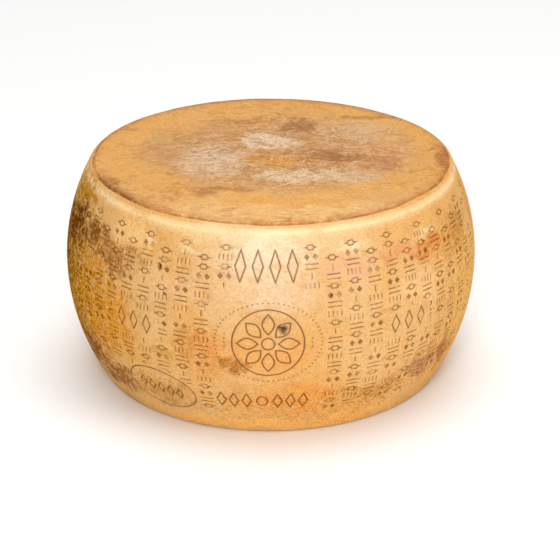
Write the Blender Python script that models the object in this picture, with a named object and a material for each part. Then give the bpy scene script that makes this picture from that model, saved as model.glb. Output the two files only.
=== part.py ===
"""A whole wheel of parmesan: one solid, barrel sided, pressed flat above and below.

Metres, +Z up. The origin is the centre of the flat face that the wheel lies on.
The side that carries the large pressed marks faces -Y.
"""

import math

import bmesh
import bpy
from mathutils import Matrix, Vector

# Driving sizes of the wheel.
MAX_RADIUS = 0.220
HEIGHT = 0.2376
EQUATOR_Z = 0.127
SIDE_ARC_RADIUS = 0.2268
TOP_EDGE_ROUND = 0.010
BOTTOM_EDGE_ROUND = 0.009

# Both faces have a fine crease near their edge, where the pressing disc ended. The upper one
# lies where the face already rounds over into the side.
TOP_CREASE_RADIUS = 0.1890
TOP_CREASE_HALF_WIDTH = 0.0026
TOP_CREASE_DEPTH = 0.0013
BOTTOM_CREASE_RADIUS = 0.1730
BOTTOM_CREASE_HALF_WIDTH = 0.0026
BOTTOM_CREASE_DEPTH = 0.0010
TOP_DISH = 0.0014

# Slow unevenness of a pressed cheese, as (waves round the wheel, height, phase). Each runs
# an even number of times round, so that opposite sides match and the wheel stays on its axis.
SIDE_WAVES = ((4, 0.0004, 0.6), (6, 0.0003, 2.1))
TOP_WAVES = ((0, 0.00035, 0.0), (2, 0.0002, 0.4), (4, 0.00015, 1.9))

# Fineness of the faceted solid.
AROUND = 96
SIDE_RINGS = 16
EDGE_STEPS = 3
TOP_FACE_RADII = (0.034, 0.070, 0.106, 0.140, 0.166, 0.181)
CREASE_STEPS = (-1.0, -0.45, 0.0, 0.45)
MERGE_DISTANCE = 1e-6

# Pressed line marks: a groove is a tube sunk in the surface along a path.
GROOVE_TUBE_RADIUS = 0.0014
GROOVE_SINK = 0.0001
STROKE_STEPS = 3
PETAL_STEPS = 5
RING_STEPS = 36
OVAL_STEPS = 28
EYE_STEPS = 10

SEAL_CENTRE = (-0.003, 0.118)
SEAL_RING_RADIUS = 0.037
SEAL_EYE_RADIUS = 0.0065
PETALS = 8
PETAL_INNER = 0.0105
PETAL_OUTER = 0.0320
PETAL_HALF_WIDTH = 0.0062

TALL_LOZENGES_U = (-0.0325, -0.0140, 0.0045, 0.0230)
TALL_LOZENGE_Z = 0.198
TALL_LOZENGE_SIZE = (0.0115, 0.031)

LOW_ROW_CENTRE = (-0.010, 0.047)
LOW_ROW_REACHES = (0.017, 0.031, 0.045)
LOW_LOZENGE_SIZE = (0.0105, 0.018)
LOW_EYE_RADIUS = 0.006

SHOULDER_LOZENGES_DEG = (-40.0, 40.0)
SHOULDER_LOZENGE_PITCH = 0.0175
SHOULDER_LOZENGE_Z = 0.122
SHOULDER_LOZENGE_SIZE = (0.0100, 0.020)

OVAL_CENTRE = (-0.129, 0.0465)
OVAL_HALF_AXES = (0.0435, 0.0225)
OVAL_TILT_DEG = -6.5

RIND_COLOUR = (0.82, 0.52, 0.21, 1.0)
RIND_ROUGHNESS = 0.5


def clear_scene():
    for obj in list(bpy.data.objects):
        bpy.data.objects.remove(obj, do_unlink=True)


def arc(centre, radius, start, end, steps):
    """Points of an arc in the (radius, height) half plane, both ends included."""
    return [
        (
            centre[0] + radius * math.cos(start + (end - start) * i / steps),
            centre[1] + radius * math.sin(start + (end - start) * i / steps),
        )
        for i in range(steps + 1)
    ]


def side_arc_centre():
    return MAX_RADIUS - SIDE_ARC_RADIUS, EQUATOR_Z


def edge_round(face_z, rounding, upwards):
    """Centre of the arc that rounds a face into the side, and its angle where the two arcs meet."""
    centre_r, centre_z = side_arc_centre()
    z = face_z - rounding if upwards else face_z + rounding
    reach = SIDE_ARC_RADIUS - rounding
    r = centre_r + math.sqrt(reach**2 - (z - centre_z) ** 2)
    return (r, z), math.atan2(z - centre_z, r - centre_r)


def crease(r, crease_radius, half_width, depth):
    """How far a face is sunk at radius r by its crease."""
    away = abs(r - crease_radius) / half_width
    if away >= 1.0:
        return 0.0
    return depth * math.cos(away * math.pi / 2) ** 2


def crease_radii(crease_radius, half_width):
    return [crease_radius + half_width * step for step in CREASE_STEPS]


def profile():
    """The wheel's half outline, from the middle of the top face out, down and in again."""
    top_centre, top_angle = edge_round(HEIGHT, TOP_EDGE_ROUND, True)
    low_centre, low_angle = edge_round(0.0, BOTTOM_EDGE_ROUND, False)

    def top_z(r):
        dish = TOP_DISH * (1.0 - (r / TOP_CREASE_RADIUS) ** 2) if r < TOP_CREASE_RADIUS else 0.0
        over = max(r - top_centre[0], 0.0)
        rounded = TOP_EDGE_ROUND - math.sqrt(TOP_EDGE_ROUND**2 - over**2)
        sunk = crease(r, TOP_CREASE_RADIUS, TOP_CREASE_HALF_WIDTH, TOP_CREASE_DEPTH)
        return HEIGHT - dish - rounded - sunk

    radii = [0.0, *TOP_FACE_RADII, *crease_radii(TOP_CREASE_RADIUS, TOP_CREASE_HALF_WIDTH)]
    points = [(r, top_z(r)) for r in radii]
    crease_end = TOP_CREASE_RADIUS + TOP_CREASE_HALF_WIDTH
    lip_angle = math.acos((crease_end - top_centre[0]) / TOP_EDGE_ROUND)
    points += arc(top_centre, TOP_EDGE_ROUND, lip_angle, top_angle, EDGE_STEPS)
    points += arc(side_arc_centre(), SIDE_ARC_RADIUS, top_angle, low_angle, SIDE_RINGS)[1:]
    points += arc(low_centre, BOTTOM_EDGE_ROUND, low_angle, -math.pi / 2, EDGE_STEPS)[1:]
    for r in reversed(crease_radii(BOTTOM_CREASE_RADIUS, BOTTOM_CREASE_HALF_WIDTH)):
        sunk = crease(
            r, BOTTOM_CREASE_RADIUS, BOTTOM_CREASE_HALF_WIDTH, BOTTOM_CREASE_DEPTH
        )
        points.append((r, sunk))
    return points


def waves(theta, parts):
    return sum(height * math.cos(times * theta + phase) for times, height, phase in parts)


def uneven(point):
    """The same point on the slightly uneven wheel. The face that the wheel lies on stays flat."""
    r = math.hypot(point.x, point.y)
    theta = math.atan2(point.x, -point.y)
    high = min(max(point.z / HEIGHT, 0.0), 1.0)
    outward = min(r / TOP_CREASE_RADIUS, 1.0)
    swell = math.sin(math.pi * high) * outward * waves(theta, SIDE_WAVES)
    sink = max(0.0, 2.0 * high - 1.0) ** 2 * outward * waves(theta, TOP_WAVES)
    across = Vector((point.x, point.y, 0.0))
    return point + across.normalized() * swell - Vector((0.0, 0.0, sink))


def wheel_mesh():
    """The half outline spun round the axis, with the flat face below closed by one polygon."""
    bm = bmesh.new()
    outline = [bm.verts.new((r, 0.0, z)) for r, z in profile()]
    edges = [bm.edges.new(pair) for pair in zip(outline, outline[1:])]
    bmesh.ops.spin(
        bm,
        geom=outline + edges,
        cent=(0.0, 0.0, 0.0),
        axis=(0.0, 0.0, 1.0),
        angle=2.0 * math.pi,
        steps=AROUND,
        use_merge=True,
    )
    bmesh.ops.remove_doubles(bm, verts=bm.verts, dist=MERGE_DISTANCE)
    bmesh.ops.holes_fill(bm, edges=bm.edges, sides=AROUND)
    for vert in bm.verts:
        vert.co = uneven(vert.co)
    bmesh.ops.recalc_face_normals(bm, faces=bm.faces)
    mesh = bpy.data.meshes.new("wheel")
    bm.to_mesh(mesh)
    bm.free()
    return mesh


def on_side(u, z):
    """Just under the side, u metres round from the front, measured at the belly, at height z."""
    centre_r, centre_z = side_arc_centre()
    angle = math.asin((z - centre_z) / SIDE_ARC_RADIUS)
    r = centre_r + (SIDE_ARC_RADIUS - GROOVE_SINK) * math.cos(angle)
    z = centre_z + (SIDE_ARC_RADIUS - GROOVE_SINK) * math.sin(angle)
    theta = u / MAX_RADIUS
    return uneven(Vector((r * math.sin(theta), -r * math.cos(theta), z)))


def ellipse_path(centre, half_axes, steps, tilt_deg=0.0):
    turn = Matrix.Rotation(math.radians(tilt_deg), 2)
    path = []
    for i in range(steps):
        angle = 2 * math.pi * i / steps
        point = turn @ Vector((half_axes[0] * math.cos(angle), half_axes[1] * math.sin(angle)))
        path.append((centre[0] + point.x, centre[1] + point.y))
    return path


def strokes(corners):
    """A path of straight strokes, each in a few steps so that it follows the curved side."""
    path = []
    for start, end in zip(corners, corners[1:]):
        path += [tuple(start.lerp(end, i / STROKE_STEPS)) for i in range(STROKE_STEPS)]
    return path


def lozenge_path(centre, size):
    corners = [
        Vector((centre[0], centre[1] + size[1] / 2)),
        Vector((centre[0] + size[0] / 2, centre[1])),
        Vector((centre[0], centre[1] - size[1] / 2)),
        Vector((centre[0] - size[0] / 2, centre[1])),
    ]
    return strokes(corners + corners[:1])


def petal_path(turn):
    """One pointed petal of the rosette, turned by an angle about the seal's centre."""
    along = Vector((math.sin(turn), math.cos(turn)))
    across = Vector((math.cos(turn), -math.sin(turn)))
    centre = Vector(SEAL_CENTRE)
    path = []
    for sign in (1, -1):
        for i in range(PETAL_STEPS):
            share = i / PETAL_STEPS if sign > 0 else 1.0 - i / PETAL_STEPS
            reach = PETAL_INNER + (PETAL_OUTER - PETAL_INNER) * share
            width = sign * PETAL_HALF_WIDTH * math.sin(math.pi * share)
            path.append(tuple(centre + along * reach + across * width))
    return path


def mark_paths():
    """Every pressed line mark, as a closed path of (u, z) points."""
    low_u, low_z = LOW_ROW_CENTRE
    paths = [
        ellipse_path(SEAL_CENTRE, (SEAL_RING_RADIUS, SEAL_RING_RADIUS), RING_STEPS),
        ellipse_path(SEAL_CENTRE, (SEAL_EYE_RADIUS, SEAL_EYE_RADIUS), EYE_STEPS),
        ellipse_path(OVAL_CENTRE, OVAL_HALF_AXES, OVAL_STEPS, OVAL_TILT_DEG),
        ellipse_path(LOW_ROW_CENTRE, (LOW_EYE_RADIUS, LOW_EYE_RADIUS), EYE_STEPS),
    ]
    paths += [petal_path(2 * math.pi * i / PETALS) for i in range(PETALS)]
    paths += [lozenge_path((u, TALL_LOZENGE_Z), TALL_LOZENGE_SIZE) for u in TALL_LOZENGES_U]
    for reach in LOW_ROW_REACHES:
        paths.append(lozenge_path((low_u - reach, low_z), LOW_LOZENGE_SIZE))
        paths.append(lozenge_path((low_u + reach, low_z), LOW_LOZENGE_SIZE))
    for degrees in SHOULDER_LOZENGES_DEG:
        middle = math.radians(degrees) * MAX_RADIUS
        for step in (-1, 0, 1):
            centre = (middle + SHOULDER_LOZENGE_PITCH * step, SHOULDER_LOZENGE_Z)
            paths.append(lozenge_path(centre, SHOULDER_LOZENGE_SIZE))
    return paths


def groove_cutter():
    """Thin closed tubes along the marks, as one hidden mesh that is cut from the wheel."""
    curve = bpy.data.curves.new("marks", "CURVE")
    curve.dimensions = "3D"
    curve.bevel_depth = GROOVE_TUBE_RADIUS
    curve.bevel_resolution = 0
    for path in mark_paths():
        spline = curve.splines.new("POLY")
        spline.points.add(len(path) - 1)
        for point, (u, z) in zip(spline.points, path):
            point.co = (*on_side(u, z), 1.0)
        spline.use_cyclic_u = True
    guide = bpy.data.objects.new("mark_guide", curve)
    bpy.context.scene.collection.objects.link(guide)
    bpy.context.view_layer.update()
    evaluated = guide.evaluated_get(bpy.context.evaluated_depsgraph_get())
    mesh = bpy.data.meshes.new_from_object(evaluated)
    bpy.data.objects.remove(guide, do_unlink=True)

    bm = bmesh.new()
    bm.from_mesh(mesh)
    bmesh.ops.remove_doubles(bm, verts=bm.verts, dist=MERGE_DISTANCE)
    bmesh.ops.recalc_face_normals(bm, faces=bm.faces)
    bm.to_mesh(mesh)
    bm.free()
    cutter = bpy.data.objects.new("mark_cutter", mesh)
    cutter.hide_render = True
    cutter.display_type = "WIRE"
    bpy.context.scene.collection.objects.link(cutter)
    return cutter


def rind_material():
    material = bpy.data.materials.new("oiled_rind")
    material.use_nodes = True
    shader = material.node_tree.nodes["Principled BSDF"]
    shader.inputs["Base Color"].default_value = RIND_COLOUR
    shader.inputs["Roughness"].default_value = RIND_ROUGHNESS
    shader.inputs["Metallic"].default_value = 0.0
    return material


def build():
    clear_scene()
    mesh = wheel_mesh()
    mesh.materials.append(rind_material())
    mesh.shade_smooth()
    wheel = bpy.data.objects.new("wheel", mesh)
    bpy.context.scene.collection.objects.link(wheel)
    cut = wheel.modifiers.new("pressed marks", "BOOLEAN")
    cut.operation = "DIFFERENCE"
    cut.solver = "EXACT"
    cut.object = groove_cutter()


build()
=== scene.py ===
"""The looks of a whole wheel of parmesan: oiled rind, pressed ornament, scuffed upper face.

Metres, +Z up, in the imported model's frame. The side with the large marks faces -Y. A place on the
side is given as (u, z): metres round from the front at the widest place, and height.
"""

import math

import bmesh
import bpy
import numpy as np
from mathutils import Matrix, Vector, noise


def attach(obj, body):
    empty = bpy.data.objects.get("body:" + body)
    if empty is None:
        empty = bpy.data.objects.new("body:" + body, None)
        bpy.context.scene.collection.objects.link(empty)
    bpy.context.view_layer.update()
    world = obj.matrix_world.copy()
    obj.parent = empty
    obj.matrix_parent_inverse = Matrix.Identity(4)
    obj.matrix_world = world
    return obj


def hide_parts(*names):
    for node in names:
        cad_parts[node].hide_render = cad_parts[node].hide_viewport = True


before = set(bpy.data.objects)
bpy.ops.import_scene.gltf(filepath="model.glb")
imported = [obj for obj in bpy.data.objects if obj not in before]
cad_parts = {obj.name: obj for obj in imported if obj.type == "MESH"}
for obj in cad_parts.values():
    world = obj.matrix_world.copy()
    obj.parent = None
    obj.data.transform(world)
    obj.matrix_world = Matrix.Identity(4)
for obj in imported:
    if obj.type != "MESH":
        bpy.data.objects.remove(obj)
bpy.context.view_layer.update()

MM = 0.001

# The wheel's driving sizes, as in the solid.
MAX_RADIUS = 0.220
HEIGHT = 0.2376
EQUATOR_Z = 0.127
SIDE_ARC_RADIUS = 0.2268
TOP_EDGE_ROUND = 0.010
BOTTOM_EDGE_ROUND = 0.009
TOP_CREASE_RADIUS = 0.1890
BOTTOM_CREASE_RADIUS = 0.1730
CREASE_HALF_WIDTH = 0.0026
TOP_CREASE_DEPTH = 0.0013
BOTTOM_CREASE_DEPTH = 0.0010
TOP_DISH = 0.0014
SIDE_WAVES = ((4, 0.0004, 0.6), (6, 0.0003, 2.1))
TOP_WAVES = ((0, 0.00035, 0.0), (2, 0.0002, 0.4), (4, 0.00015, 1.9))

# The grid that the wheel is spun from: rings of the two faces, and steps of the arcs between.
UPPER_FACE_RINGS_MM = (24, 48, 72, 94, 114, 132, 148, 162, 174, 181)
LOW_CREASE_RINGS_MM = (1.5, 0.0, -1.5, -3.5)
LOW_FACE_RING = 0.090
TOP_ROUND_STEPS = 13
SHOULDER_STEPS = 4
FOOT_STEPS = 5
BOTTOM_ROUND_STEPS = 4
MERGE_DISTANCE = 1e-6
NEARLY = 1e-5
SIDE_LEAST_RADIUS = 0.15

# The columns of pin marks: sixty round the wheel, seven pins wide, a bare strip between two.
COLUMNS = 60
COLUMN_TURN = 2 * math.pi / COLUMNS
PINS_ACROSS = 7
PIN_TURN = math.radians(0.6)
CELLS_PER_COLUMN = PINS_ACROSS + 1
AROUND = COLUMNS * CELLS_PER_COLUMN
FRONT_U = -0.003
PIN_ROWS = 80
MOTIF_ROWS = 4
COLUMN_TOP_Z = 0.218
COLUMN_FOOT_Z = 0.031
PIN_DEPTH = 0.0012
PIN_CELL_AREA = 2.0e-6
STROKE_SHARE = 0.7

# The plain panel at the front, whose middle carries the large pressed marks.
PANEL_COLUMNS = 2
FRAGMENT_FOOT_Z = 0.173

# Pressed line marks, all on the front, and how finely the grid is split for them.
LINE_HALF_WIDTH = 0.0011
LINE_DEPTH = 0.0012
FRONT_Y = -0.05
MARKS_FOOT_Z = 0.020
MARK_SPLITS = 4
MARK_CELL = 0.0009
MARK_REACH = 0.0011
MARK_MARGIN = 0.008

SEAL_CENTRE = (-0.003, 0.118)
SEAL_RING_RADIUS = 0.037
SEAL_EYE_RADIUS = 0.0065
SEAL_DOTS_REACH = (0.0550, 0.0440)
SEAL_DOTS = 64
SEAL_SIDE_DOTS = (0.0450, 0.0045)
PETALS = 8
PETAL_INNER = 0.0105
PETAL_OUTER = 0.0320
PETAL_HALF_WIDTH = 0.0062
PETAL_STEPS = 12

TALL_LOZENGES_U = (-0.0325, -0.0140, 0.0045, 0.0230)
TALL_LOZENGE_Z = 0.198
TALL_LOZENGE_SIZE = (0.0115, 0.031)
LOW_ROW_CENTRE = (-0.010, 0.047)
LOW_ROW_REACHES = (0.017, 0.031, 0.045)
LOW_LOZENGE_SIZE = (0.0105, 0.018)
LOW_EYE_RADIUS = 0.006
SHOULDER_LOZENGES_DEG = (-40.0, 40.0)
SHOULDER_LOZENGE_PITCH = 0.0175
SHOULDER_LOZENGE_Z = 0.122
SHOULDER_LOZENGE_SIZE = (0.0100, 0.020)
SHOULDER_BARE_REACH = (0.031, 0.0135)
OVAL_CENTRE = (-0.129, 0.0465)
OVAL_HALF_AXES = (0.0435, 0.0225)
OVAL_TILT_DEG = -6.5
OVAL_BARE_MARGIN = 0.004
OVAL_LOZENGE_PITCH = 0.0120
OVAL_LOZENGE_SIZE = (0.0085, 0.0125)
OVAL_DOT_ROWS = 0.0130
OVAL_DOT_PITCH = 0.0056

# Small natural holes in the rind, as (u, z, radius).
HOLES = (
    (0.012, 0.134, 0.0062),
    (-0.123, 0.188, 0.0028),
    (-0.114, 0.160, 0.0024),
    (0.063, 0.166, 0.0018),
)
HOLE_DEPTH = 0.0022

# The skin lies this much under the mould's surface on average, so that no lump stands out.
SKIN_ALLOWANCE = 0.00025
SKIN_LUMP_WIDTH = 0.045
FINE_LUMPS = 0.00008
FINE_LUMP_WIDTH = 0.011
FACE_LUMPS = 0.00022
FACE_LUMP_WIDTH = 0.022
CREASE_WANDER = 0.0018
WANDER_LENGTH = 0.35
RIM_DIRT_INSIDE = 0.013
RIM_DIRT_OUTSIDE = 0.003

# The painted highlight band below the upper edge, as the heights where it begins, is full, and
# ends.
LIP_HIGHLIGHT_HEIGHTS = (0.2235, 0.2280, 0.2305, 0.2345)

# The faces' own finish reaches this far past the upper crease and this high at the foot.
FACE_PAST_CREASE = 1.5 * MM
FOOT_FACE_Z = 2.0 * MM

# Colours of the rind.
STRAW = "#E1B276"
HONEY = "#DEA156"
TOASTED = "#C48944"
# Painted highlight colour of the band below the upper edge.
LIP_HIGHLIGHT_CREAM = "#FCDCA6"
PIN_BROWN = "#744514"
LINE_BROWN = "#683C14"
# Dirt and painted shade inside the small holes.
HOLE_DIRT_AND_SHADE = "#341A08"
SPECKLE_BROWN = "#74400E"
# Painted golden highlights among the leathery speckles.
SPECKLE_HIGHLIGHT_GOLD = "#F2B040"
STREAK_BROWN = "#AC6E30"
SCUFF_PINK = "#E2C09C"
FLECK_BROWN = "#7C4E28"
CREASE_BROWN = "#7E4410"
RIM_BROWN = "#B4702C"
SCRATCH_PALE = "#E8CFA4"
FLOOR_WHITE = "#FAFAF9"

# Stains of the side and painted highlights on it, as (colour, strength, u, z, half widths along x,
# y and z), in metres.
RIND_PATCHES = (
    # Painted highlight: the pale cream band below the upper edge at the front, fading down the
    # panel.
    ("#F4D8B4", 0.60, -0.005, 0.208, (0.100, 0.060, 0.036)),
    ("#F0CCA4", 0.60, 0.005, 0.174, (0.080, 0.050, 0.044)),
    ("#F0C89C", 0.35, -0.100, 0.165, (0.050, 0.060, 0.036)),
    ("#F6C680", 0.70, -0.170, 0.210, (0.066, 0.060, 0.024)),
    ("#B0780A", 1.00, -0.300, 0.125, (0.140, 0.220, 0.180)),
    ("#D88C20", 0.80, -0.205, 0.115, (0.090, 0.100, 0.100)),
    # Darker towards the far left: partly the rind's dark stain, partly painted shade.
    ("#6A3A04", 0.95, -0.335, 0.150, (0.036, 0.110, 0.100)),
    ("#B47C0E", 0.90, -0.285, 0.220, (0.060, 0.080, 0.026)),
    ("#5C2C04", 0.98, -0.290, 0.186, (0.042, 0.076, 0.046)),
    ("#7E460C", 0.92, -0.240, 0.190, (0.048, 0.052, 0.030)),
    ("#9C5C18", 0.80, -0.190, 0.182, (0.066, 0.056, 0.034)),
    ("#864A24", 0.92, -0.255, 0.056, (0.050, 0.080, 0.044)),
    ("#8C5628", 0.88, -0.200, 0.036, (0.066, 0.070, 0.030)),
    ("#B4803E", 0.70, -0.130, 0.044, (0.080, 0.070, 0.032)),
    ("#DA8234", 0.60, -0.066, 0.104, (0.050, 0.046, 0.060)),
    ("#C8802C", 0.50, -0.095, 0.116, (0.026, 0.034, 0.034)),
    ("#A68C40", 0.45, -0.119, 0.094, (0.018, 0.026, 0.020)),
    ("#885408", 0.95, -0.036, 0.093, (0.030, 0.026, 0.017)),
    ("#EA9A50", 0.50, -0.005, 0.100, (0.090, 0.050, 0.040)),
    ("#E68A38", 0.55, 0.020, 0.048, (0.110, 0.060, 0.032)),
    ("#E49C78", 0.60, 0.088, 0.190, (0.046, 0.040, 0.020)),
    ("#DA8256", 0.50, 0.150, 0.196, (0.050, 0.046, 0.018)),
    ("#C86A20", 0.85, 0.194, 0.195, (0.044, 0.050, 0.020)),
    ("#B07020", 0.65, 0.256, 0.190, (0.036, 0.060, 0.046)),
    ("#DA9248", 0.50, 0.215, 0.180, (0.070, 0.080, 0.050)),
    ("#F8C890", 0.60, 0.175, 0.155, (0.060, 0.070, 0.040)),
    ("#A0603C", 0.80, 0.228, 0.062, (0.050, 0.070, 0.030)),
    # Painted highlights: narrow pale streaks just below the upper edge.
    ("#F6E0B4", 0.50, 0.087, 0.211, (0.036, 0.034, 0.009)),
    ("#F2DCA8", 0.50, 0.199, 0.210, (0.030, 0.034, 0.009)),
    ("#F6E0B4", 0.40, -0.143, 0.208, (0.018, 0.024, 0.008)),
    ("#F6E0B4", 0.40, -0.087, 0.206, (0.018, 0.024, 0.008)),
    ("#B87638", 0.65, 0.118, 0.046, (0.070, 0.060, 0.026)),
    ("#A4684A", 0.70, 0.182, 0.058, (0.050, 0.060, 0.028)),
    ("#EFB765", 0.75, 0.290, 0.110, (0.080, 0.120, 0.120)),
    ("#FCBE68", 0.85, 0.000, 0.010, (0.260, 0.160, 0.024)),
)

# Stains of the upper face, as (colour, strength, softness, x, y, half widths along x and y).
FACE_PATCHES = (
    ("#E0A250", 0.85, 0.3, 0.000, 0.060, (0.300, 0.240)),
    ("#F2BC74", 0.80, 1.0, 0.000, -0.160, (0.200, 0.090)),
    ("#C89664", 0.85, 0.6, 0.010, 0.012, (0.200, 0.158)),
    ("#C08C58", 0.60, 0.9, -0.116, 0.024, (0.046, 0.090)),
    ("#E8CCA8", 0.95, 0.6, -0.003, 0.052, (0.050, 0.040)),
    ("#DEC09E", 0.90, 0.8, -0.062, -0.008, (0.060, 0.080)),
    ("#D8B084", 0.75, 0.8, 0.090, 0.078, (0.066, 0.050)),
    ("#D89A62", 0.75, 0.8, 0.124, 0.012, (0.044, 0.060)),
    ("#E6CAA2", 0.90, 0.8, 0.026, -0.052, (0.068, 0.034)),
    ("#D8BA92", 0.85, 0.8, 0.080, -0.056, (0.050, 0.034)),
    ("#DC9838", 0.85, 0.8, 0.004, -0.008, (0.060, 0.026)),
    ("#A06430", 0.85, 0.8, 0.030, 0.096, (0.030, 0.050)),
    ("#9A602C", 0.85, 0.8, 0.064, -0.002, (0.062, 0.032)),
    ("#AC6E40", 0.60, 0.9, 0.122, -0.020, (0.038, 0.048)),
    ("#A86C34", 0.70, 0.9, -0.050, -0.098, (0.070, 0.018)),
    ("#A86C34", 0.60, 0.9, -0.035, 0.118, (0.060, 0.020)),
    ("#E09C3C", 0.60, 0.9, 0.020, -0.128, (0.130, 0.022)),
    ("#965420", 0.75, 0.9, 0.184, -0.010, (0.018, 0.066)),
    ("#A06828", 0.70, 0.9, -0.168, -0.075, (0.018, 0.040)),
    ("#A06828", 0.60, 0.9, 0.110, 0.125, (0.060, 0.018)),
)

# Speckled places, as a centre, half widths along x, y and z, and how strongly.
SPECKLED_LEFT = ((-0.240, -0.070, 0.115), (0.190, 0.240, 0.125), 0.85)
SPECKLED_RIGHT = ((0.220, -0.080, 0.120), (0.160, 0.200, 0.150), 0.50)
SPECKLED_FOOT = ((0.020, -0.120, 0.035), (0.260, 0.200, 0.060), 0.60)
SPECKLED_ELSEWHERE = 0.16

# Other places, as a centre and half widths. FACE_REACH takes in the whole upper face's height.
FACE_REACH = 0.050
OILED_FRONT = ((0.010, -0.190, 0.190), (0.180, 0.170, 0.130))
# The front of the upper edge, where a highlight is painted.
LIP_HIGHLIGHT_FRONT = ((-0.030, -0.195, 0.224), (0.170, 0.080, 0.015))
SCUFFED_MIDDLE = ((0.014, 0.012, HEIGHT), (0.185, 0.155, FACE_REACH))
DIRTY_CREASE = ((-0.160, -0.100, HEIGHT), (0.080, 0.095, FACE_REACH))
DIRTY_BACK = ((0.000, 0.160, HEIGHT), (0.280, 0.130, FACE_REACH))

# A pale scratch across the upper face.
SCRATCH_CENTRE = (0.032, -0.066)
SCRATCH_SIZE = (0.072, 0.0016)
SCRATCH_DEG = 38.5

# Widths of the side's patterns in millimetres. The skin's true grain is under a millimetre, too
# fine to show, so grain and leather are drawn coarser.
BROAD_MM = 70
TOASTED_MM = 19
LIP_HIGHLIGHT_CLOUD_MM = 45
CLOUD_MM = 7
LEATHER_MM = 2.8
BRUSHED_MM = 9
GRAIN_MM = 1.6

# Widths of the upper face's patterns in millimetres. Streaks run along x, as it was wiped.
STREAK_MM = 6
STREAK_STRETCH = (0.22, 1.0, 1.0)
STREWN_MM = 45
FLECK_MM = 3.2
SMUDGE_MM = 16
CREASE_DIRT_MM = 12
FACE_GRAIN_MM = 1.4

# How stains are bent and torn, so that none has a clean edge.
BEND_MM = 26
BEND_REACH = 0.05
TORN_FROM = 0.1
EASED = {"interpolation_type": "SMOOTHSTEP"}

# Gloss of a fatty skin. Oil makes it satin, dust leaves it dull.
RIND_IOR = 1.45
OILED_ROUGHNESS = 0.33
OILED_SPECULAR = 0.9
DULL_ROUGHNESS = 0.85
FACE_ROUGHNESS = 0.5
FACE_SPECULAR = 0.3

# How strongly each even stain and the painted lip highlight cover, and the depth of each finish's
# relief in metres.
LIP_HIGHLIGHT_SHARE = 0.4
LINE_DIRT = 0.8
SCRATCH_SHARE = 0.8
GRAIN_RELIEF = 0.00012
LEATHER_RELIEF = 0.0005
FACE_GRAIN_RELIEF = 0.0003
STREAK_RELIEF = 0.0006

# Studio: soft lamps as (name, azimuth, elevation, distance, size, power), and the room's light.
LIGHTS = (
    ("key", -4.0, 28.0, 2.6, 0.7, 30.0),
    ("right_fill", 62.0, 20.0, 3.0, 1.6, 20.0),
    ("top", 180.0, 82.0, 6.0, 6.0, 280.0),
)
ROOM_LIGHT = 0.30
FLOOR_HALF = 8.0

# The camera, fitted to the outline of the wheel in the photo.
VIEW_ELEVATION = 22.98
VIEW_DISTANCE = 12 * MAX_RADIUS
LENS_MM = 156.4
VIEW_RIGHT = 0.00974
VIEW_DOWN = 0.0237


def side_arc_centre():
    return MAX_RADIUS - SIDE_ARC_RADIUS, EQUATOR_Z


def arc(centre, radius, start, end, steps):
    """Points of an arc in the (radius, height) half plane, both ends included."""
    return [
        (
            centre[0] + radius * math.cos(start + (end - start) * i / steps),
            centre[1] + radius * math.sin(start + (end - start) * i / steps),
        )
        for i in range(steps + 1)
    ]


def edge_round(face_z, rounding, upwards):
    """Centre of the arc that rounds a face into the side, and its angle where the two arcs meet."""
    centre_r, centre_z = side_arc_centre()
    z = face_z - rounding if upwards else face_z + rounding
    reach = SIDE_ARC_RADIUS - rounding
    r = centre_r + math.sqrt(reach**2 - (z - centre_z) ** 2)
    return (r, z), math.atan2(z - centre_z, r - centre_r)


def side_angle(z):
    """The angle of the side arc at height z, 0 at the widest place."""
    return math.asin((z - EQUATOR_Z) / SIDE_ARC_RADIUS)


def outline():
    """Half outline of the wheel, from the middle of the upper face to the middle of the lower."""
    top_centre, top_angle = edge_round(HEIGHT, TOP_EDGE_ROUND, True)
    low_centre, low_angle = edge_round(0.0, BOTTOM_EDGE_ROUND, False)
    column_top = side_angle(COLUMN_TOP_Z)
    column_foot = side_angle(COLUMN_FOOT_Z)
    centre = side_arc_centre()
    low_rings = [BOTTOM_CREASE_RADIUS + MM * step for step in LOW_CREASE_RINGS_MM]
    quarter = math.pi / 2

    points = [(0.0, HEIGHT)] + [(MM * r, HEIGHT) for r in UPPER_FACE_RINGS_MM]
    points += arc(top_centre, TOP_EDGE_ROUND, quarter, top_angle, TOP_ROUND_STEPS)
    points += arc(centre, SIDE_ARC_RADIUS, top_angle, column_top, SHOULDER_STEPS)[1:]
    points += arc(centre, SIDE_ARC_RADIUS, column_top, column_foot, PIN_ROWS)[1:]
    points += arc(centre, SIDE_ARC_RADIUS, column_foot, low_angle, FOOT_STEPS)[1:]
    points += arc(low_centre, BOTTOM_EDGE_ROUND, low_angle, -quarter, BOTTOM_ROUND_STEPS)[1:]
    points += [(r, 0.0) for r in low_rings + [LOW_FACE_RING, 0.0]]
    return points


def column_cell(angle):
    """Turn an angle of the even grid into the angle of its pin cell or bare strip."""
    column, cell = divmod(round(angle / (2 * math.pi) * AROUND), CELLS_PER_COLUMN)
    start = FRONT_U / MAX_RADIUS - PINS_ACROSS * PIN_TURN / 2
    return start + column * COLUMN_TURN + cell * PIN_TURN


def in_oval(u, z, margin):
    """Whether a place of the side is inside the tilted oval, or nearer to it than the margin."""
    turn = math.radians(-OVAL_TILT_DEG)
    du = u - OVAL_CENTRE[0]
    dz = z - OVAL_CENTRE[1]
    along = du * math.cos(turn) - dz * math.sin(turn)
    across = du * math.sin(turn) + dz * math.cos(turn)
    reach = (OVAL_HALF_AXES[0] + margin, OVAL_HALF_AXES[1] + margin)
    return (along / reach[0]) ** 2 + (across / reach[1]) ** 2 < 1.0


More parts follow.
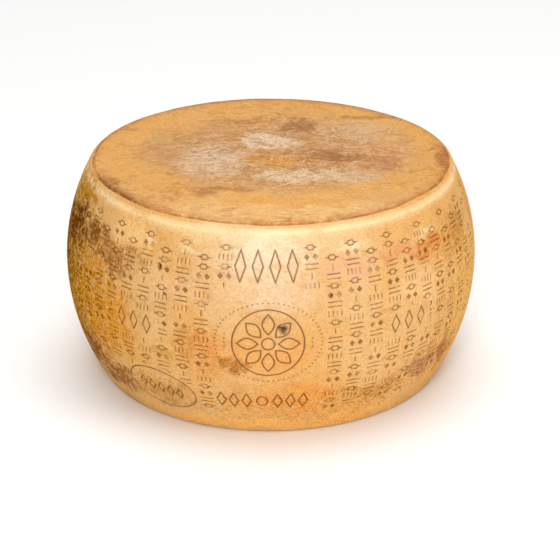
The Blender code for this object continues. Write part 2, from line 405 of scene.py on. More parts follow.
def bare(column, u, z):
    """Whether the pins leave this place of the side free for a larger mark."""
    if abs(column) < PANEL_COLUMNS:
        return True
    if abs(column) == PANEL_COLUMNS:
        return z < FRAGMENT_FOOT_Z
    if in_oval(u, z, OVAL_BARE_MARGIN):
        return True
    for degrees in SHOULDER_LOZENGES_DEG:
        beside = abs(u - math.radians(degrees) * MAX_RADIUS)
        above = abs(z - SHOULDER_LOZENGE_Z)
        if beside < SHOULDER_BARE_REACH[0] and above < SHOULDER_BARE_REACH[1]:
            return True
    return False


# Plain ornaments of the pin columns: which pins press the rind. i runs across the column from -3
# to 3, and j down it from 0 to 2. ring is a ring with whiskers, and twins are two small lozenges.
MOTIFS = {
    "ring": lambda i, j: (abs(i) <= 1) == (j in (0, 2)),
    "bars": lambda i, j: j in (0, 2),
    "comb": lambda i, j: i % 2 == 1,
    "twins": lambda i, j: abs(i) in (1, 3) if j == 1 else abs(i) == 2,
}
WORD = ("comb", "bars", "ring", "twins", "bars", "comb", "ring", "twins", "bars", "ring")


def pinned(column, cell, row):
    """Whether the pin at this cell of a column pressed the rind. Rows count from the top.

    A column begins with a ring. Then it follows WORD, from another place in each column, and
    every seventh ornament is a single short stroke.
    """
    i = cell - PINS_ACROSS // 2
    drop = 0 if column % 2 == 0 else MOTIF_ROWS + 1
    if row < drop or not 0 <= cell < PINS_ACROSS:
        return False
    motif, j = divmod(row - drop, MOTIF_ROWS)
    if j == MOTIF_ROWS - 1:
        return False
    if motif == 0:
        return MOTIFS["ring"](i, j)
    if (motif + 2 * column) % 7 == 0:
        return i == 0
    return MOTIFS[WORD[(motif + 3 * column) % len(WORD)]](i, j)


def in_oval_place(along, up):
    """The (u, z) place that lies this far along the oval and up from its middle."""
    spot = Matrix.Rotation(math.radians(OVAL_TILT_DEG), 2) @ Vector((along, up))
    return OVAL_CENTRE[0] + spot.x, OVAL_CENTRE[1] + spot.y


def ellipse_path(centre, half_axes, steps, tilt_deg=0.0):
    """A closed path round an ellipse, as (u, z) points."""
    turn = Matrix.Rotation(math.radians(tilt_deg), 2)
    path = []
    for i in range(steps):
        angle = 2 * math.pi * i / steps
        point = turn @ Vector((half_axes[0] * math.cos(angle), half_axes[1] * math.sin(angle)))
        path.append((centre[0] + point.x, centre[1] + point.y))
    return path


def lozenge_path(centre, size):
    return [
        (centre[0], centre[1] + size[1] / 2),
        (centre[0] + size[0] / 2, centre[1]),
        (centre[0], centre[1] - size[1] / 2),
        (centre[0] - size[0] / 2, centre[1]),
    ]


def petal_path(turn):
    """One pointed petal of the rosette, turned by an angle about the seal's centre."""
    along = Vector((math.sin(turn), math.cos(turn)))
    across = Vector((math.cos(turn), -math.sin(turn)))
    path = []
    for sign in (1, -1):
        for i in range(PETAL_STEPS):
            share = i / PETAL_STEPS if sign > 0 else 1.0 - i / PETAL_STEPS
            reach = PETAL_INNER + (PETAL_OUTER - PETAL_INNER) * share
            width = sign * PETAL_HALF_WIDTH * math.sin(math.pi * share)
            path.append(tuple(Vector(SEAL_CENTRE) + along * reach + across * width))
    return path


def mark_paths():
    """Every pressed line mark, as a closed path of (u, z) points."""
    low_u, low_z = LOW_ROW_CENTRE
    paths = [
        ellipse_path(SEAL_CENTRE, (SEAL_RING_RADIUS, SEAL_RING_RADIUS), 72),
        ellipse_path(SEAL_CENTRE, (SEAL_EYE_RADIUS, SEAL_EYE_RADIUS), 24),
        ellipse_path(OVAL_CENTRE, OVAL_HALF_AXES, 60, OVAL_TILT_DEG),
        ellipse_path(LOW_ROW_CENTRE, (LOW_EYE_RADIUS, LOW_EYE_RADIUS), 24),
    ]
    paths += [petal_path(2 * math.pi * i / PETALS) for i in range(PETALS)]
    paths += [lozenge_path((u, TALL_LOZENGE_Z), TALL_LOZENGE_SIZE) for u in TALL_LOZENGES_U]
    for reach in LOW_ROW_REACHES:
        paths.append(lozenge_path((low_u - reach, low_z), LOW_LOZENGE_SIZE))
        paths.append(lozenge_path((low_u + reach, low_z), LOW_LOZENGE_SIZE))
    for degrees in SHOULDER_LOZENGES_DEG:
        middle = math.radians(degrees) * MAX_RADIUS
        for step in (-1, 0, 1):
            centre = (middle + SHOULDER_LOZENGE_PITCH * step, SHOULDER_LOZENGE_Z)
            paths.append(lozenge_path(centre, SHOULDER_LOZENGE_SIZE))
    for step in (-2, -1, 0, 1, 2):
        centre = in_oval_place(OVAL_LOZENGE_PITCH * step, 0.0)
        paths.append(lozenge_path(centre, OVAL_LOZENGE_SIZE))
    return paths


def mark_dots():
    """Single pressed dots of the seal and of the oval, as (u, z) points."""
    dots = ellipse_path(SEAL_CENTRE, SEAL_DOTS_REACH, SEAL_DOTS)
    for row in (-OVAL_DOT_ROWS, OVAL_DOT_ROWS):
        dots += [in_oval_place(OVAL_DOT_PITCH * step, row) for step in range(-5, 6)]
    out, pitch = SEAL_SIDE_DOTS
    for side in (-1, 1):
        for step in (-1, 0, 1):
            dots.append((SEAL_CENTRE[0] + side * out, SEAL_CENTRE[1] + step * pitch))
    return dots


def distance_to_marks(places):
    """For (u, z) places, the distance to the nearest stroke's middle, in metres. Far ones get 1.

    A dot is a stroke with no length, so a length is never less than a tiny number.
    """
    nearest = np.full(len(places), 1.0)
    for path in mark_paths() + [[dot] for dot in mark_dots()]:
        points = np.array(path)
        above = np.all(places > points.min(axis=0) - MARK_MARGIN, axis=1)
        beside = above & np.all(places < points.max(axis=0) + MARK_MARGIN, axis=1)
        near = places[beside]
        for start, end in zip(points, np.roll(points, -1, axis=0)):
            along = end - start
            length = max(float(along @ along), 1e-18)
            share = np.clip(((near - start) @ along) / length, 0.0, 1.0)
            foot = start + share[:, None] * along
            nearest[beside] = np.minimum(nearest[beside], np.hypot(*(near - foot).T))
    return nearest


def place_on_side(point):
    """(u, z) of a point of the side: metres round from the front at the belly, and height."""
    return math.atan2(point.x, -point.y) * MAX_RADIUS, point.z


def spun_wheel():
    """The smooth wheel: the half outline spun round, its grid then fitted to the pin columns."""
    bm = bmesh.new()
    ring = [bm.verts.new((0.0, -r, z)) for r, z in outline()]
    edges = [bm.edges.new(pair) for pair in zip(ring, ring[1:])]
    bmesh.ops.spin(
        bm,
        geom=ring + edges,
        cent=(0.0, 0.0, 0.0),
        axis=(0.0, 0.0, 1.0),
        angle=2.0 * math.pi,
        steps=AROUND,
        use_merge=True,
    )
    bmesh.ops.remove_doubles(bm, verts=bm.verts, dist=MERGE_DISTANCE)
    bmesh.ops.recalc_face_normals(bm, faces=bm.faces)
    for vert in bm.verts:
        r = vert.co.xy.length
        if r > MM:
            angle = column_cell(math.atan2(vert.co.x, -vert.co.y))
            vert.co.xy = (r * math.sin(angle), -r * math.cos(angle))
    return bm


def refine_marks(bm):
    """Split the side's grid near the marks, until its cells are finer than a stroke."""
    for step in range(MARK_SPLITS):
        edges = [
            edge
            for edge in bm.edges
            if edge.calc_length() > MARK_CELL
            and edge.verts[0].co.y < FRONT_Y
            and MARKS_FOOT_Z < edge.verts[0].co.z < COLUMN_TOP_Z
            and edge.verts[0].co.xy.length > TOP_CREASE_RADIUS
        ]
        middles = [place_on_side((edge.verts[0].co + edge.verts[1].co) / 2) for edge in edges]
        reach = np.array([MARK_REACH + edge.calc_length() / 2 for edge in edges])
        near = distance_to_marks(np.array(middles)) < reach
        chosen = [edge for edge, keep in zip(edges, near) if keep]
        bmesh.ops.subdivide_edges(bm, edges=chosen, cuts=1, use_grid_fill=True)


def cell_of(face):
    """(column, cell, row) of a face of the side in the pin grid."""
    middle = face.calc_center_median()
    turn = math.atan2(middle.x, -middle.y) - FRONT_U / MAX_RADIUS + PINS_ACROSS * PIN_TURN / 2
    column = math.floor(turn / COLUMN_TURN)
    cell = math.floor((turn - column * COLUMN_TURN) / PIN_TURN)
    centre_r, centre_z = side_arc_centre()
    angle = math.atan2(middle.z - centre_z, middle.xy.length - centre_r)
    top = side_angle(COLUMN_TOP_Z)
    row = math.floor((top - angle) / (top - side_angle(COLUMN_FOOT_Z)) * PIN_ROWS)
    return (column + COLUMNS // 2) % COLUMNS - COLUMNS // 2, cell, row


def press_pins(bm):
    """Sink a small pyramid in each cell where a pin pressed the rind, and mark its tip.

    Where two pressed cells meet, by a side or by a corner, the rind between them is marked too,
    so that a row of pins reads as one dotted stroke.
    """
    pin = bm.verts.layers.float.new("pin")
    bm.edges.index_update()
    chosen = []
    for face in bm.faces:
        if len(face.verts) != 4 or face.calc_area() < PIN_CELL_AREA:
            continue
        column, cell, row = cell_of(face)
        if not 0 <= row < PIN_ROWS or cell >= PINS_ACROSS:
            continue
        u, z = place_on_side(face.calc_center_median())
        if not bare(column, u, z) and pinned(column, cell, row):
            chosen.append(face)
    pressed = set(chosen)
    for vert in {vert for face in chosen for vert in face.verts}:
        meeting = [face for face in vert.link_faces if face in pressed]
        if len(meeting) == 2 and not set(meeting[0].edges) & set(meeting[1].edges):
            vert[pin] = STROKE_SHARE
    shared = [
        edge
        for edge in {edge for face in chosen for edge in face.edges}
        if all(face in pressed for face in edge.link_faces)
    ]
    shared.sort(key=lambda edge: edge.index)
    split = bmesh.ops.bisect_edges(bm, edges=shared, cuts=1)
    for part in split["geom_split"]:
        if isinstance(part, bmesh.types.BMVert):
            part[pin] = STROKE_SHARE
    poked = bmesh.ops.poke(bm, faces=chosen, center_mode="MEAN")
    for vert in poked["verts"]:
        vert[pin] = 1.0


def smooth(low, high, values):
    """0 where the values are under low, 1 where they are over high, and an even rise between."""
    share = np.clip((values - low) / (high - low), 0.0, 1.0)
    return share * share * (3.0 - 2.0 * share)


def lumps(points, size, octaves, offset=0.0):
    """Soft noise of about -1 to 1 at each point. size is the lumps' width in metres."""
    shift = Vector((offset, offset, offset))
    return np.array(
        [
            noise.fractal(Vector(point) / size + shift, 1.0, 2.0, octaves)
            for point in points
        ]
    )


def waves(theta, parts):
    """The sum of the waves round the wheel, each given by its turns, height and phase."""
    return sum(height * np.cos(times * theta + phase) for times, height, phase in parts)


def read_values(mesh, name):
    values = np.zeros(len(mesh.vertices))
    mesh.attributes[name].data.foreach_get("value", values)
    return values


def write_values(mesh, name, values):
    layer = mesh.attributes.new(name, "FLOAT", "POINT")
    layer.data.foreach_set("value", values.astype(np.float32))


def hollow_strength(points):
    """0 to 1 for how deep each point lies in one of the small natural holes, which are ragged."""
    strength = np.zeros(len(points))
    for u, z, radius in HOLES:
        theta = u / MAX_RADIUS
        r = side_arc_centre()[0] + SIDE_ARC_RADIUS * math.cos(side_angle(z))
        spot = np.array((r * math.sin(theta), -r * math.cos(theta), z))
        away = points - spot
        close = np.linalg.norm(away, axis=1) < 3 * radius
        angle = np.arctan2(away[close, 2], away[close, 0])
        ragged = 1.0 + 0.22 * np.cos(3 * angle + u * 900) + 0.16 * np.cos(5 * angle + z * 700)
        distance = np.linalg.norm(away[close], axis=1) / (radius * ragged)
        strength[close] = np.maximum(strength[close], 1.0 - smooth(0.35, 1.0, distance))
    return strength


def groove(away):
    """The depth of a rounded groove, 1 at its middle, at distances given in half widths."""
    return np.where(away < 1.0, np.cos(np.clip(away, 0, 1) * math.pi / 2) ** 2, 0.0)


def mould_tilt(r, z, angle, side, upper):
    """How steeply the mould's surface faces up at each point, as an angle."""
    top_r, top_z = edge_round(HEIGHT, TOP_EDGE_ROUND, True)[0]
    low_r, low_z = edge_round(0.0, BOTTOM_EDGE_ROUND, False)[0]
    tilt = np.arctan2(z - low_z, np.maximum(r - low_r, 0.0))
    over = np.arctan2(z - top_z, np.maximum(r - top_r, 0.0))
    tilt[upper] = over[upper]
    tilt[side] = angle[side]
    return tilt


def upper_crease(theta, r):
    """How deep each point lies in the upper face's wandering crease, and how near it lies."""
    circle = np.column_stack((np.sin(theta), np.cos(theta), 0 * theta))
    wander = CREASE_WANDER * lumps(circle, WANDER_LENGTH, 2)
    within = TOP_CREASE_RADIUS + wander - r
    near = np.where(
        within > 0.0,
        1.0 - smooth(0.0, RIM_DIRT_INSIDE, within),
        1.0 - smooth(0.0, RIM_DIRT_OUTSIDE, -within),
    )
    return groove(np.abs(within) / CREASE_HALF_WIDTH), near


def shape_rind(mesh):
    """Move the smooth wheel's points to the real surface, and note what was pressed where."""
    co = np.zeros(len(mesh.vertices) * 3)
    mesh.vertices.foreach_get("co", co)
    co = co.reshape(-1, 3)
    r = np.hypot(co[:, 0], co[:, 1])
    theta = np.arctan2(co[:, 0], -co[:, 1])
    z = co[:, 2].copy()

    # Which part of the wheel each point is on.
    centre_r, centre_z = side_arc_centre()
    angle = np.arctan2(z - centre_z, r - centre_r)
    top_angle = edge_round(HEIGHT, TOP_EDGE_ROUND, True)[1]
    low_angle = edge_round(0.0, BOTTOM_EDGE_ROUND, False)[1]
    between_rounds = (angle < top_angle + NEARLY) & (angle > low_angle - NEARLY)
    side = between_rounds & (r > SIDE_LEAST_RADIUS)
    upper = ~side & (z > EQUATOR_Z)
    low = z < NEARLY
    tilt = mould_tilt(r, z, angle, side, upper)

    # Back onto the true side arc, where cells were split or poked.
    r[side] = centre_r + SIDE_ARC_RADIUS * np.cos(angle[side])
    z[side] = centre_z + SIDE_ARC_RADIUS * np.sin(angle[side])
    points = np.column_stack((r * np.sin(theta), -r * np.cos(theta), z))
    broad = lumps(points, SKIN_LUMP_WIDTH, 2)
    fine = lumps(points, FINE_LUMP_WIDTH, 2, 7.0)
    scuffs = lumps(points, FACE_LUMP_WIDTH, 3, 3.0)

    # What was pressed, pitted or dirtied where, and the band below the upper edge where a highlight
    # is painted. The materials read these.
    pin = read_values(mesh, "pin")
    hole = hollow_strength(points)
    line = np.zeros(len(z))
    front = side & (co[:, 1] < FRONT_Y)
    nearest = distance_to_marks(np.column_stack((theta[front] * MAX_RADIUS, z[front])))
    line[front] = 1.0 - smooth(0.25 * LINE_HALF_WIDTH, LINE_HALF_WIDTH, nearest)
    # The band just below the upper edge where a highlight is painted.
    begins, full, fades, ends = LIP_HIGHLIGHT_HEIGHTS
    edge = smooth(begins, full, z) * (1.0 - smooth(fades, ends, z))
    crease, rim = (np.where(upper, values, 0.0) for values in upper_crease(theta, r))
    noted = {"line": line, "hole": hole, "edge": edge, "crease": crease, "rim": rim}
    for name, values in noted.items():
        write_values(mesh, name, values)

    # How far each point is sunk below the mould's true surface.
    sunk = SKIN_ALLOWANCE * (1.0 + 0.6 * broad) + FINE_LUMPS * (1.0 + fine)
    sunk = np.clip(sunk, 0.0, None)
    sunk = sunk + LINE_DEPTH * line + PIN_DEPTH * pin * (0.9 + 0.35 * fine)
    sunk = sunk + HOLE_DEPTH * hole
    inside = np.clip(1.0 - (r / TOP_CREASE_RADIUS) ** 2, 0.0, 1.0)
    sunk[upper] += (FACE_LUMPS * (1.0 + scuffs) * np.clip(8.0 * inside, 0.0, 1.0))[upper]
    sunk *= smooth(0.0, 2 * BOTTOM_EDGE_ROUND, z)
    r -= sunk * np.cos(tilt)
    z -= sunk * np.sin(tilt)

    # The dished upper face and the two creases.
    z[upper] -= (TOP_DISH * inside)[upper]
    z -= TOP_CREASE_DEPTH * crease * (1.0 + 0.3 * fine)
    low_crease = groove(np.abs(r - BOTTOM_CREASE_RADIUS) / CREASE_HALF_WIDTH)
    z[low] += (BOTTOM_CREASE_DEPTH * low_crease)[low]

    # The slow waves of the whole wheel, as in the solid.
    high = np.clip(z / HEIGHT, 0.0, 1.0)
    outward = np.minimum(r / TOP_CREASE_RADIUS, 1.0)
    r += np.sin(math.pi * high) * outward * waves(theta, SIDE_WAVES)
    z -= np.clip(2.0 * high - 1.0, 0.0, None) ** 2 * outward * waves(theta, TOP_WAVES)
    co = np.column_stack((r * np.sin(theta), -r * np.cos(theta), z))
    mesh.vertices.foreach_set("co", co.ravel())
    mesh.update()


def wheel_piece():
    """The finished wheel as one piece, without its finishes."""
    bm = spun_wheel()
    refine_marks(bm)
    press_pins(bm)
    mesh = bpy.data.meshes.new("cheese_wheel")
    bm.to_mesh(mesh)
    bm.free()
    shape_rind(mesh)
    mesh.shade_smooth()
    piece = bpy.data.objects.new("cheese_wheel", mesh)
    bpy.context.scene.collection.objects.link(piece)
    return piece


def linear(hex_colour):
    """An sRGB hex colour as linear RGBA."""
    parts = [int(hex_colour[i : i + 2], 16) / 255 for i in (1, 3, 5)]
    return [c / 12.92 if c <= 0.04045 else ((c + 0.055) / 1.055) ** 2.4 for c in parts] + [1.0]


def per_metre(millimetres):
    """The noise scale that gives features of this size, for coordinates in metres."""
    return 1.0 / (millimetres * MM)


def add(tree, kind, inputs=None, out=0, **settings):
    """Add a node and give one of its outputs. inputs holds sockets or values by name or number."""
    node = tree.nodes.new(kind)
    for name, value in settings.items():
        setattr(node, name, value)
    for name, value in (inputs or {}).items():
        if isinstance(value, bpy.types.NodeSocket):
            tree.links.new(value, node.inputs[name])
        else:
            node.inputs[name].default_value = value
    return node.outputs[out]


def clouds(tree, vector, size_mm, low, high, least=0.0, most=1.0, detail=3.0, roughness=0.5):
    """Clouds of this size: least where their noise is under low, most where it is over high."""
    lumpy = {
        "Vector": vector,
        "Scale": per_metre(size_mm),
        "Detail": detail,
        "Roughness": roughness,
    }
    spread = {
        "Value": add(tree, "ShaderNodeTexNoise", lumpy),
        "From Min": low,
        "From Max": high,
        "To Min": least,
        "To Max": most,
    }
    return add(tree, "ShaderNodeMapRange", spread, **EASED)


def patch(tree, vector, centre, half_widths, softness=1.0):
    """1 inside an ellipsoid about centre, falling to 0 at its edge."""
    from_centre = {0: vector, 1: centre}
    away = add(tree, "ShaderNodeVectorMath", from_centre, operation="SUBTRACT")
    in_half_widths = {0: away, 1: [1.0 / half_width for half_width in half_widths]}
    scaled = add(tree, "ShaderNodeVectorMath", in_half_widths, operation="MULTIPLY")
    length = add(tree, "ShaderNodeVectorMath", {0: scaled}, "Value", operation="LENGTH")
    fall = {"Value": length, "From Min": 1.0, "From Max": 1.0 - softness}
    return add(tree, "ShaderNodeMapRange", fall, **EASED)


def torn(tree, share, cloud, strength):
    """The share with its edge torn into clouds, up to this strength."""
    product = add(tree, "ShaderNodeMath", {0: share, 1: cloud}, operation="MULTIPLY")
    spread = {"Value": product, "From Min": TORN_FROM, "To Max": strength}
    return add(tree, "ShaderNodeMapRange", spread, **EASED)


def stain(tree, colour, hex_colour, share, strength=1.0):
    """The colour so far, covered by another where share times strength is 1."""
    cover = add(tree, "ShaderNodeMath", {0: share, 1: strength}, operation="MULTIPLY")
    layers = {"Factor": cover, 6: colour, 7: linear(hex_colour)}
    return add(tree, "ShaderNodeMix", layers, 2, data_type="RGBA")


def side_spot(u, z):
    """The point of the side u metres round from the front, at height z."""
    r = side_arc_centre()[0] + SIDE_ARC_RADIUS * math.cos(side_angle(z))
    theta = u / MAX_RADIUS
    return (r * math.sin(theta), -r * math.cos(theta), z)


def start_material(name):
    """A cheese rind's material, its plain coordinates, and the same bent by a slow noise."""
    material = bpy.data.materials.new(name)
    material.use_nodes = True
    tree = material.node_tree
    shader = tree.nodes["Principled BSDF"]
    shader.inputs["IOR"].default_value = RIND_IOR
    coords = add(tree, "ShaderNodeTexCoord", out="Object")
    slow = {"Vector": coords, "Scale": per_metre(BEND_MM), "Detail": 4.0}
    wander = add(tree, "ShaderNodeTexNoise", slow, "Color")
    about_half = {0: wander, 1: (0.5, 0.5, 0.5)}
    centred = add(tree, "ShaderNodeVectorMath", about_half, operation="SUBTRACT")
    shift = {0: centred, "Scale": BEND_REACH}
    bent = {0: coords, 1: add(tree, "ShaderNodeVectorMath", shift, operation="SCALE")}
    warped = add(tree, "ShaderNodeVectorMath", bent, operation="ADD")
    return material, tree, shader, coords, warped


def golden_skin(tree, coords, warped):
    """The colour that rind and face share: straw to honey, in cloudy patches."""
    broad = clouds(tree, coords, BROAD_MM, 0.35, 0.65, most=0.7)
    colour = stain(tree, linear(STRAW), HONEY, broad)
    toasted = clouds(tree, warped, TOASTED_MM, 0.50, 0.72, most=0.4, detail=5.0, roughness=0.6)
    return stain(tree, colour, TOASTED, toasted)


def grained(tree, colour, vector, size_mm, darkest, lightest):
    """The colour with a fine dark and light grain over it, and the grain's height."""
    fine = {"Vector": vector, "Scale": per_metre(size_mm), "Detail": 4.0, "Roughness": 0.65}
    grain = add(tree, "ShaderNodeTexNoise", fine)
    spread = {
        "Value": grain,
        "From Min": 0.3,
        "From Max": 0.7,
        "To Min": darkest,
        "To Max": lightest,
    }
    shade = {"Value": add(tree, "ShaderNodeMapRange", spread, **EASED), "Color": colour}
    return add(tree, "ShaderNodeHueSaturation", shade), grain


def relief(tree, shader, layers):
    """Bump from (height socket, depth in metres) layers, one over the other."""
    normal = None
    for height, depth in layers:
        inputs = {"Height": height, "Strength": 1.0, "Distance": depth}
        if normal is not None:
            inputs["Normal"] = normal
        normal = add(tree, "ShaderNodeBump", inputs)
    tree.links.new(normal, shader.inputs["Normal"])


def oiled_rind():
    """Natural cheese rind, brushed and oiled while it aged.

    To the eye it is straw to honey with cloudy stains, satin at the oiled front and dull at the
    sides, speckled like leather on the left with painted golden highlights, with painted highlights
    below the upper edge and down the front, and dark with old dirt in every pressed mark; the small
    holes are dark with dirt and painted shade, and the far left is darkened partly by painted
    shade.
    """
    material, tree, shader, coords, warped = start_material("oiled_rind")
    pin, line, hole, edge = (
        add(tree, "ShaderNodeAttribute", out="Fac", attribute_name=name)
        for name in ("pin", "line", "hole", "edge")
    )
    oiled = patch(tree, coords, *OILED_FRONT)
    gloss = {"Value": oiled, "To Max": OILED_SPECULAR}
    sheen = {
        "Value": oiled,
        "From Max": 0.8,
        "To Min": DULL_ROUGHNESS,
        "To Max": OILED_ROUGHNESS,
    }
    for socket, inputs in (("Specular IOR Level", gloss), ("Roughness", sheen)):
        tree.links.new(add(tree, "ShaderNodeMapRange", inputs, **EASED), shader.inputs[socket])

    colour = golden_skin(tree, coords, warped)
    # Painted highlight along the upper edge and on the front of the lip, torn by clouds.
    lip_highlight_clouds = clouds(tree, warped, LIP_HIGHLIGHT_CLOUD_MM, 0.35, 0.55, 0.35, 0.75)
    colour = stain(tree, colour, LIP_HIGHLIGHT_CREAM, edge, lip_highlight_clouds)
    colour = stain(tree, colour, LIP_HIGHLIGHT_CREAM, patch(tree, warped, *LIP_HIGHLIGHT_FRONT), LIP_HIGHLIGHT_SHARE)
    cloud = clouds(tree, coords, CLOUD_MM, 0.35, 0.65, 0.45, 1.5, 6.0, 0.72)
    for hex_colour, strength, u, z, size in RIND_PATCHES:
        share = torn(tree, patch(tree, warped, side_spot(u, z), size), cloud, strength)
        colour = stain(tree, colour, hex_colour, share)

    # Leathery speckles, dark brown freckles in the pits and painted golden highlights on the bumps,
    # but none on the painted highlight below the upper edge.
    speckled_places = [
        torn(tree, patch(tree, warped, centre, size), cloud, strength)
        for centre, size, strength in (SPECKLED_LEFT, SPECKLED_RIGHT, SPECKLED_FOOT)
    ]
    speckled = SPECKLED_ELSEWHERE
    for share in speckled_places:
        speckled = add(tree, "ShaderNodeMath", {0: share, 1: speckled}, operation="MAXIMUM")
    off_lip_highlight = add(tree, "ShaderNodeMath", {0: 1.0, 1: edge}, operation="SUBTRACT")
    speckled = add(tree, "ShaderNodeMath", {0: speckled, 1: off_lip_highlight}, operation="MULTIPLY")
    leathery = {"Vector": coords, "Scale": per_metre(LEATHER_MM), "Detail": 5.0, "Roughness": 0.75}
    leather = add(tree, "ShaderNodeTexNoise", leathery)
    for hex_colour, begins, full in ((SPECKLE_BROWN, 0.50, 0.60), (SPECKLE_HIGHLIGHT_GOLD, 0.49, 0.39)):
        spread = {"Value": leather, "From Min": begins, "From Max": full}
        specks = add(tree, "ShaderNodeMapRange", spread, **EASED)
        colour = stain(tree, colour, hex_colour, specks, speckled)

    # Dirt in the pressed marks. Brushing took some of it out again, but not on the left.
    kept = clouds(tree, coords, BRUSHED_MM, 0.30, 0.60, 0.35, 0.90, 4.0)
    kept = add(tree, "ShaderNodeMath", {0: kept, 1: speckled_places[0]}, operation="MAXIMUM")
    spread = {"Value": pin, "From Min": 0.15, "From Max": 0.85}
    dotted = add(tree, "ShaderNodeMapRange", spread, **EASED)
    colour = stain(tree, colour, PIN_BROWN, dotted, kept)
    colour = stain(tree, colour, LINE_BROWN, line, LINE_DIRT)
    # The small holes: dark with dirt and with painted shade of their depth.
    colour = stain(tree, colour, HOLE_DIRT_AND_SHADE, hole)
    colour, grain = grained(tree, colour, coords, GRAIN_MM, 0.84, 1.12)
    tree.links.new(colour, shader.inputs["Base Color"])
    relief(tree, shader, [(grain, GRAIN_RELIEF), (leather, LEATHER_RELIEF)])
    return material


def scuffed_face():
    """The upper face's rind, worn by turning and wiping.

    To the eye it is golden at the border, and in the middle scraped pale with brown streaks and
    flecks, half matt all over, with dirt in the crease.
    """
    material, tree, shader, coords, warped = start_material("scuffed_face")
    shader.inputs["Roughness"].default_value = FACE_ROUGHNESS
    shader.inputs["Specular IOR Level"].default_value = FACE_SPECULAR
    rim, crease = (
        add(tree, "ShaderNodeAttribute", out="Fac", attribute_name=name)
        for name in ("rim", "crease")
    )
    colour = golden_skin(tree, coords, warped)
    cloud = clouds(tree, coords, CLOUD_MM, 0.35, 0.65, 0.5, 1.4, 6.0, 0.72)
    for hex_colour, strength, softness, x, y, size in FACE_PATCHES:
        there = patch(tree, warped, (x, y, HEIGHT), (*size, FACE_REACH), softness)
        colour = stain(tree, colour, hex_colour, torn(tree, there, cloud, strength))

    # Streaks that wiping left, brown in the grooves and pale on the ridges.
    streaked = add(tree, "ShaderNodeMapping", {"Vector": warped, "Scale": STREAK_STRETCH})
    wiped = {"Vector": streaked, "Scale": per_metre(STREAK_MM), "Detail": 4.0, "Roughness": 0.6}
    streaks = add(tree, "ShaderNodeTexNoise", wiped)
    middle = patch(tree, warped, *SCUFFED_MIDDLE, 0.6)
    strewn = clouds(tree, warped, STREWN_MM, 0.42, 0.62, 0.25, 0.9)
    worn = add(tree, "ShaderNodeMath", {0: middle, 1: strewn}, operation="MAXIMUM")
    for hex_colour, begins, full, most, where in (
        (STREAK_BROWN, 0.42, 0.68, 0.7, worn),
        (SCUFF_PINK, 0.48, 0.36, 0.5, middle),
    ):
        spread = {"Value": streaks, "From Min": begins, "From Max": full, "To Max": most}
        fibres = add(tree, "ShaderNodeMapRange", spread, **EASED)
        colour = stain(tree, colour, hex_colour, fibres, where)
    flecks = clouds(tree, coords, FLECK_MM, 0.54, 0.64, 0.0, 0.6, 4.0, 0.7)
    colour = stain(tree, colour, FLECK_BROWN, flecks, middle)

    turn = math.radians(SCRATCH_DEG)
    turned = add(tree, "ShaderNodeMapping", {"Vector": coords, "Rotation": (0.0, 0.0, -turn)})
    scratch_middle = Matrix.Rotation(-turn, 3, "Z") @ Vector((*SCRATCH_CENTRE, HEIGHT))
    scratch = patch(tree, turned, scratch_middle, (*SCRATCH_SIZE, FACE_REACH), 0.7)
    colour = stain(tree, colour, SCRATCH_PALE, scratch, SCRATCH_SHARE)

    # Dirt beside the crease and in it.
    caked = torn(tree, patch(tree, coords, *DIRTY_CREASE), cloud, 0.95)
    dusty = torn(tree, patch(tree, coords, *DIRTY_BACK), cloud, 0.85)
    dirty = add(tree, "ShaderNodeMath", {0: caked, 1: dusty}, operation="MAXIMUM")
    smudge = clouds(tree, warped, SMUDGE_MM, 0.38, 0.62, 0.15, 0.75, 4.0, 0.6)
    smudge = add(tree, "ShaderNodeMath", {0: smudge, 1: dirty}, operation="MAXIMUM")
    colour = stain(tree, colour, RIM_BROWN, rim, smudge)
    half = add(tree, "ShaderNodeMath", {0: dirty, 1: 0.5}, operation="MULTIPLY")
    colour = stain(tree, colour, CREASE_BROWN, rim, half)
    kept = clouds(tree, coords, CREASE_DIRT_MM, 0.35, 0.60, 0.1, 0.6, 4.0)
    kept = add(tree, "ShaderNodeMath", {0: kept, 1: dirty}, operation="MAXIMUM")
    colour = stain(tree, colour, CREASE_BROWN, crease, kept)
    colour, grain = grained(tree, colour, streaked, FACE_GRAIN_MM, 0.76, 1.18)
    tree.links.new(colour, shader.inputs["Base Color"])
    relief(tree, shader, [(grain, FACE_GRAIN_RELIEF), (streaks, STREAK_RELIEF)])
    return material


def clean_floor():
    """Matt seamless paper, just off white."""
    material = bpy.data.materials.new("floor_paper")
    material.use_nodes = True
    shader = material.node_tree.nodes["Principled BSDF"]
    shader.inputs["Base Color"].default_value = linear(FLOOR_WHITE)
    shader.inputs["Roughness"].default_value = 0.9
    return material


def lay_floor():
    bm = bmesh.new()
    bmesh.ops.create_grid(bm, x_segments=1, y_segments=1, size=FLOOR_HALF)
    bmesh.ops.translate(bm, verts=bm.verts, vec=(0.0, 0.0, -0.2 * MM))
    mesh = bpy.data.meshes.new("floor")
    bm.to_mesh(mesh)
    bm.free()
    mesh.materials.append(clean_floor())
    floor = bpy.data.objects.new("floor", mesh)
    bpy.context.scene.collection.objects.link(floor)


def aim(obj, place, target):
    obj.location = place
    obj.rotation_euler = (Vector(target) - Vector(place)).to_track_quat("-Z", "Y").to_euler()
    bpy.context.scene.collection.objects.link(obj)


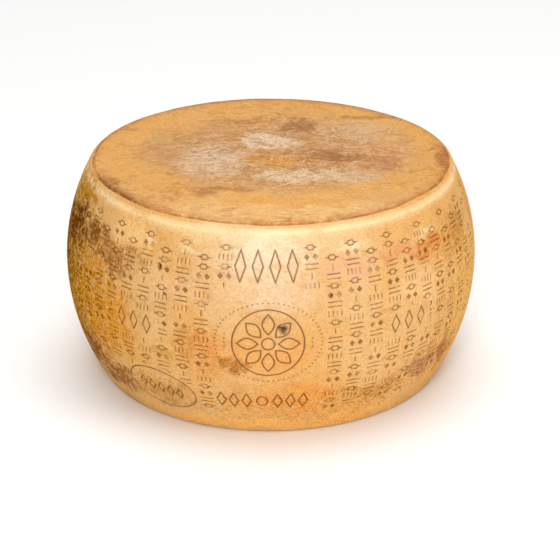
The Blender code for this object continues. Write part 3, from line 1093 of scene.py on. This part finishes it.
def around(azimuth_deg, elevation_deg, distance, height):
    """A place at this distance from the wheel's axis at height, seen from its front."""
    azimuth = math.radians(azimuth_deg)
    elevation = math.radians(elevation_deg)
    flat = distance * math.cos(elevation)
    up = height + distance * math.sin(elevation)
    return Vector((flat * math.sin(azimuth), -flat * math.cos(azimuth), up))


def studio_lights():
    """A soft key lamp in front, a fill from the right, a wide lamp overhead and a pale room."""
    for name, azimuth, elevation, distance, size, power in LIGHTS:
        light = bpy.data.lights.new(name, "AREA")
        light.shape = "DISK"
        light.size = size
        light.energy = power
        light.color = (1.0, 1.0, 1.0)
        lamp = bpy.data.objects.new(name, light)
        aim(lamp, around(azimuth, elevation, distance, HEIGHT / 2), (0.0, 0.0, HEIGHT / 2))
    world = bpy.data.worlds.new("pale_room")
    world.use_nodes = True
    background = world.node_tree.nodes["Background"]
    background.inputs["Color"].default_value = (1.0, 1.0, 1.0, 1.0)
    background.inputs["Strength"].default_value = ROOM_LIGHT
    bpy.context.scene.world = world
    bpy.context.scene.view_settings.view_transform = "Standard"


def photo_camera():
    """The photo's view: long lens, front, looking a little down on the wheel."""
    camera = bpy.data.cameras.new("photo_camera")
    camera.sensor_width = 36.0
    camera.lens = LENS_MM
    place = around(0.0, VIEW_ELEVATION, VIEW_DISTANCE, HEIGHT / 2)
    pitch = math.radians(VIEW_ELEVATION)
    up = Vector((0.0, math.sin(pitch), math.cos(pitch)))
    target = Vector((VIEW_RIGHT, 0.0, HEIGHT / 2)) - up * VIEW_DOWN
    eye = bpy.data.objects.new("photo_camera", camera)
    aim(eye, place, target)
    bpy.context.scene.camera = eye


wheel = wheel_piece()
wheel.data.materials.append(oiled_rind())
wheel.data.materials.append(scuffed_face())
for polygon in wheel.data.polygons:
    middle = polygon.center
    rim = math.hypot(middle.x, middle.y)
    on_face = middle.z > EQUATOR_Z and rim < TOP_CREASE_RADIUS + FACE_PAST_CREASE
    polygon.material_index = 1 if on_face or middle.z < FOOT_FACE_Z else 0
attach(wheel, "root")
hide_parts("wheel")

lay_floor()
studio_lights()
photo_camera()
